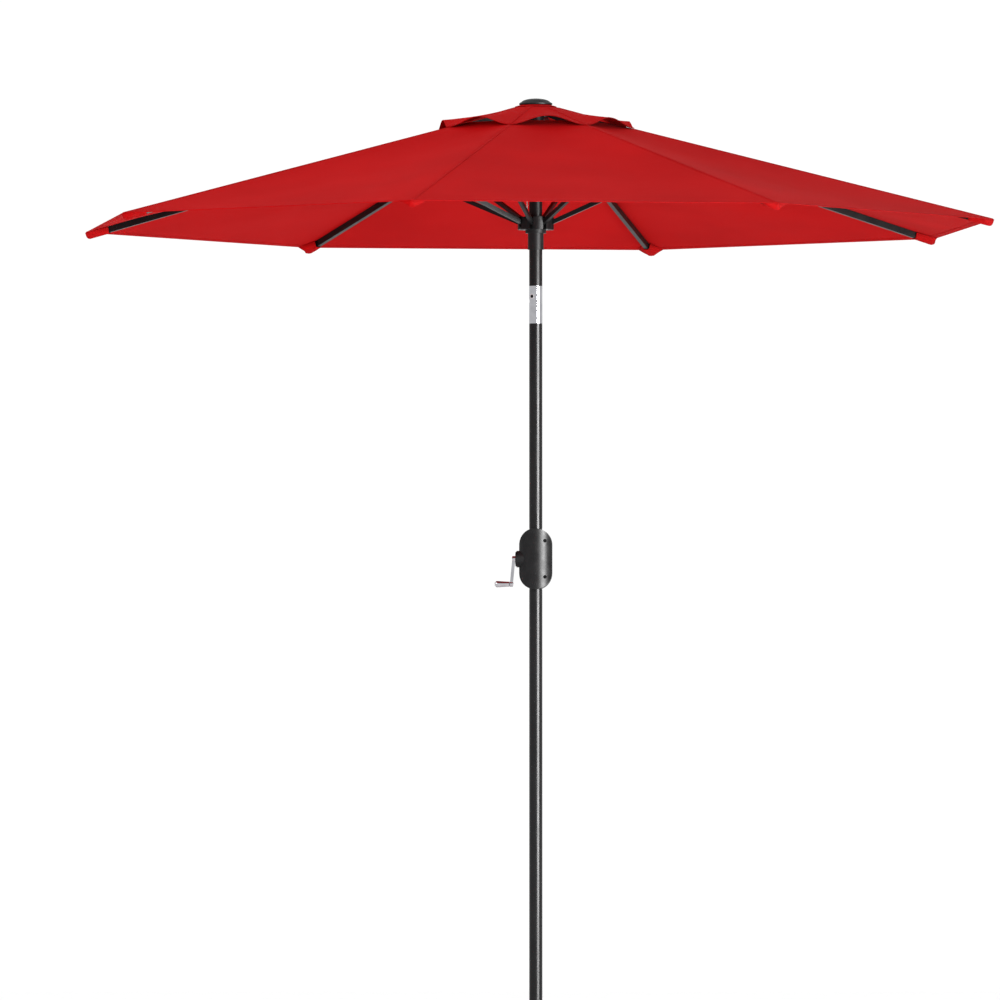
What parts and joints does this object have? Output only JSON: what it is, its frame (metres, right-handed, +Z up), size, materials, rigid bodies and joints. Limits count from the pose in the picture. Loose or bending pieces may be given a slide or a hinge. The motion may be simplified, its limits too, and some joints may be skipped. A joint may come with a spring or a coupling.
{
  "type": "patio umbrella",
  "caption": "Crank-lift market umbrella: tilting pole, octagonal vented cloth canopy on folding ribs and struts that a sliding runner opens and closes.",
  "frame": {"origin": "middle of the pole's foot, on the pole's axis", "axes": "+Z up the pole, -X the side that the upper pole tips towards and the crank handle is on, +Y away from the tilt button"},
  "size_m": [2.6504, 2.6504, 2.6],
  "materials": {
    "pole_paint": "satin powder coat",
    "frame_paint": "black powder coat",
    "housing_plastic": "satin moulded",
    "black_plastic": "moulded",
    "chrome": "polished",
    "steel": "zinc plated",
    "nylon": "natural nylon",
    "canopy_cloth": "woven polyester",
    "cord": "braided"
  },
  "bodies": {
    "pole": {"lower_pole": "pole_paint", "pole_foot_plug": "black_plastic", "housing_front": "housing_plastic", "housing_back": "housing_plastic", "housing_screws": "frame_paint", "crank_bearing": "housing_plastic", "shaft_bushes": "nylon", "tilt_lower_knuckle": "chrome", "tilt_sleeve": "steel", "tilt_rear_plug": "chrome"},
    "crank": {"crank_shaft": "steel", "cord_spool": "nylon", "crank_arm": "chrome", "grip_pin": "steel"},
    "grip": {"crank_grip": "chrome"},
    "tilt_lock": {"tilt_button": "black_plastic", "tilt_spring": "steel"},
    "upper": {"tilt_upper_knuckle": "chrome", "upper_pole": "frame_paint", "crown_hub": "frame_paint", "crown_pins": "steel", "pulley_axle": "steel", "canopy_patch": "canopy_cloth", "lift_cord": "cord"},
    "pulley_wheel": {"pulley": "nylon"},
    "finial_cap": {"finial": "black_plastic"},
    "runner": {"runner_hub": "frame_paint", "runner_sleeve": "black_plastic"},
    "rib_arm_1": {"rib_1": "frame_paint", "rib_fittings_1": "black_plastic", "canopy_panel_1": "canopy_cloth"},
    "strut_arm_1": {"strut_1": "frame_paint"},
    "rib_arm_2": {"rib_2": "frame_paint", "rib_fittings_2": "black_plastic", "canopy_panel_2": "canopy_cloth"},
    "strut_arm_2": {"strut_2": "frame_paint"},
    "rib_arm_3": {"rib_3": "frame_paint", "rib_fittings_3": "black_plastic", "canopy_panel_3": "canopy_cloth"},
    "strut_arm_3": {"strut_3": "frame_paint"},
    "rib_arm_4": {"rib_4": "frame_paint", "rib_fittings_4": "black_plastic", "canopy_panel_4": "canopy_cloth"},
    "strut_arm_4": {"strut_4": "frame_paint"},
    "rib_arm_5": {"rib_5": "frame_paint", "rib_fittings_5": "black_plastic", "canopy_panel_5": "canopy_cloth"},
    "strut_arm_5": {"strut_5": "frame_paint"},
    "rib_arm_6": {"rib_6": "frame_paint", "rib_fittings_6": "black_plastic", "canopy_panel_6": "canopy_cloth"},
    "strut_arm_6": {"strut_6": "frame_paint"},
    "rib_arm_7": {"rib_7": "frame_paint", "rib_fittings_7": "black_plastic", "canopy_panel_7": "canopy_cloth"},
    "strut_arm_7": {"strut_7": "frame_paint"},
    "rib_arm_8": {"rib_8": "frame_paint", "rib_fittings_8": "black_plastic", "canopy_panel_8": "canopy_cloth"},
    "strut_arm_8": {"strut_8": "frame_paint"}
  },
  "joints": [
    {"name": "canopy_tilt", "type": "hinge", "parent": "pole", "child": "upper", "pos_m": [-0.01, 0, 2.03], "axis": [0, 1, 0], "range_deg": [-30, 0], "deforming": ["lift_cord"]},
    {"name": "canopy_fold", "type": "slide", "parent": "upper", "child": "runner", "axis": [0, 0, -1], "range_m": [0, 0.63329], "deforming": ["canopy_panel_1", "canopy_panel_2", "canopy_panel_3", "canopy_panel_4", "canopy_panel_5", "canopy_panel_6", "canopy_panel_7", "canopy_panel_8"]},
    {"name": "crank_turn", "type": "hinge", "parent": "pole", "child": "crank", "pos_m": [0, 0, 1.275], "axis": [-1, 0, 0], "range_deg": [0, 2880.01]},
    {"name": "grip_spin", "type": "hinge", "parent": "crank", "child": "grip", "pos_m": [-0.08, 0, 1.203], "axis": [-1, 0, 0], "continuous": true},
    {"name": "tilt_button_press", "type": "slide", "parent": "pole", "child": "tilt_lock", "axis": [0, 1, 0], "range_m": [0, 0.003], "stiffness_N_per_m": 800, "springref_m": -0.002, "deforming": ["tilt_spring"]},
    {"name": "pulley_turn", "type": "hinge", "parent": "upper", "child": "pulley_wheel", "pos_m": [-0.01225, -0.00249, 2.56], "axis": [0.1994, -0.9799, 0], "range_deg": [-2902.81, 0]},
    {"name": "finial_unscrew", "type": "hinge", "parent": "upper", "child": "finial_cap", "pos_m": [0, 0, 2.59], "axis": [0, 0, 1], "continuous": true},
    {"name": "rib_hinge_1", "type": "hinge", "parent": "upper", "child": "rib_arm_1", "pos_m": [0.0315, 0.02125, 2.562], "axis": [-0.5592, 0.829, 0], "range_deg": [0, 72.01]},
    {"name": "strut_hinge_1", "type": "hinge", "parent": "rib_arm_1", "child": "strut_arm_1", "pos_m": [0.40542, 0.27346, 2.42883], "axis": [-0.5592, 0.829, 0], "range_deg": [-138.08, 0]},
    {"name": "rib_hinge_2", "type": "hinge", "parent": "upper", "child": "rib_arm_2", "pos_m": [0.00725, 0.0373, 2.562], "axis": [-0.9816, 0.1908, 0], "range_deg": [0, 72.01]},
    {"name": "strut_hinge_2", "type": "hinge", "parent": "rib_arm_2", "child": "strut_arm_2", "pos_m": [0.09331, 0.48004, 2.42883], "axis": [-0.9816, 0.1908, 0], "range_deg": [-138.08, 0]},
    {"name": "rib_hinge_3", "type": "hinge", "parent": "upper", "child": "rib_arm_3", "pos_m": [-0.02125, 0.0315, 2.562], "axis": [-0.829, -0.5592, 0], "range_deg": [0, 72.01]},
    {"name": "strut_hinge_3", "type": "hinge", "parent": "rib_arm_3", "child": "strut_arm_3", "pos_m": [-0.27346, 0.40542, 2.42883], "axis": [-0.829, -0.5592, 0], "range_deg": [-138.08, 0]},
    {"name": "rib_hinge_4", "type": "hinge", "parent": "upper", "child": "rib_arm_4", "pos_m": [-0.0373, 0.00725, 2.562], "axis": [-0.1908, -0.9816, 0], "range_deg": [0, 72.01]},
    {"name": "strut_hinge_4", "type": "hinge", "parent": "rib_arm_4", "child": "strut_arm_4", "pos_m": [-0.48004, 0.09331, 2.42883], "axis": [-0.1908, -0.9816, 0], "range_deg": [-138.08, 0]},
    {"name": "rib_hinge_5", "type": "hinge", "parent": "upper", "child": "rib_arm_5", "pos_m": [-0.0315, -0.02125, 2.562], "axis": [0.5592, -0.829, 0], "range_deg": [0, 72.01]},
    {"name": "strut_hinge_5", "type": "hinge", "parent": "rib_arm_5", "child": "strut_arm_5", "pos_m": [-0.40542, -0.27346, 2.42883], "axis": [0.5592, -0.829, 0], "range_deg": [-138.08, 0]},
    {"name": "rib_hinge_6", "type": "hinge", "parent": "upper", "child": "rib_arm_6", "pos_m": [-0.00725, -0.0373, 2.562], "axis": [0.9816, -0.1908, 0], "range_deg": [0, 72.01]},
    {"name": "strut_hinge_6", "type": "hinge", "parent": "rib_arm_6", "child": "strut_arm_6", "pos_m": [-0.09331, -0.48004, 2.42883], "axis": [0.9816, -0.1908, 0], "range_deg": [-138.08, 0]},
    {"name": "rib_hinge_7", "type": "hinge", "parent": "upper", "child": "rib_arm_7", "pos_m": [0.02125, -0.0315, 2.562], "axis": [0.829, 0.5592, 0], "range_deg": [0, 72.01]},
    {"name": "strut_hinge_7", "type": "hinge", "parent": "rib_arm_7", "child": "strut_arm_7", "pos_m": [0.27346, -0.40542, 2.42883], "axis": [0.829, 0.5592, 0], "range_deg": [-138.08, 0]},
    {"name": "rib_hinge_8", "type": "hinge", "parent": "upper", "child": "rib_arm_8", "pos_m": [0.0373, -0.00725, 2.562], "axis": [0.1908, 0.9816, 0], "range_deg": [0, 72.01]},
    {"name": "strut_hinge_8", "type": "hinge", "parent": "rib_arm_8", "child": "strut_arm_8", "pos_m": [0.48004, -0.09331, 2.42883], "axis": [0.1908, 0.9816, 0], "range_deg": [-138.08, 0]}
  ],
  "couplings": [
    {"joint": "crank_turn", "follows": "canopy_fold", "rad_per_m": 79.372},
    {"joint": "pulley_turn", "follows": "canopy_fold", "rad_per_m": -80},
    {"joint": "rib_hinge_1", "follows": "canopy_fold", "rad_per_m": 1.9843},
    {"joint": "strut_hinge_1", "follows": "canopy_fold", "rad_per_m": -3.8052},
    {"joint": "rib_hinge_2", "follows": "canopy_fold", "rad_per_m": 1.9843},
    {"joint": "strut_hinge_2", "follows": "canopy_fold", "rad_per_m": -3.8052},
    {"joint": "rib_hinge_3", "follows": "canopy_fold", "rad_per_m": 1.9843},
    {"joint": "strut_hinge_3", "follows": "canopy_fold", "rad_per_m": -3.8052},
    {"joint": "rib_hinge_4", "follows": "canopy_fold", "rad_per_m": 1.9843},
    {"joint": "strut_hinge_4", "follows": "canopy_fold", "rad_per_m": -3.8052},
    {"joint": "rib_hinge_5", "follows": "canopy_fold", "rad_per_m": 1.9843},
    {"joint": "strut_hinge_5", "follows": "canopy_fold", "rad_per_m": -3.8052},
    {"joint": "rib_hinge_6", "follows": "canopy_fold", "rad_per_m": 1.9843},
    {"joint": "strut_hinge_6", "follows": "canopy_fold", "rad_per_m": -3.8052},
    {"joint": "rib_hinge_7", "follows": "canopy_fold", "rad_per_m": 1.9843},
    {"joint": "strut_hinge_7", "follows": "canopy_fold", "rad_per_m": -3.8052},
    {"joint": "rib_hinge_8", "follows": "canopy_fold", "rad_per_m": 1.9843},
    {"joint": "strut_hinge_8", "follows": "canopy_fold", "rad_per_m": -3.8052}
  ]
}
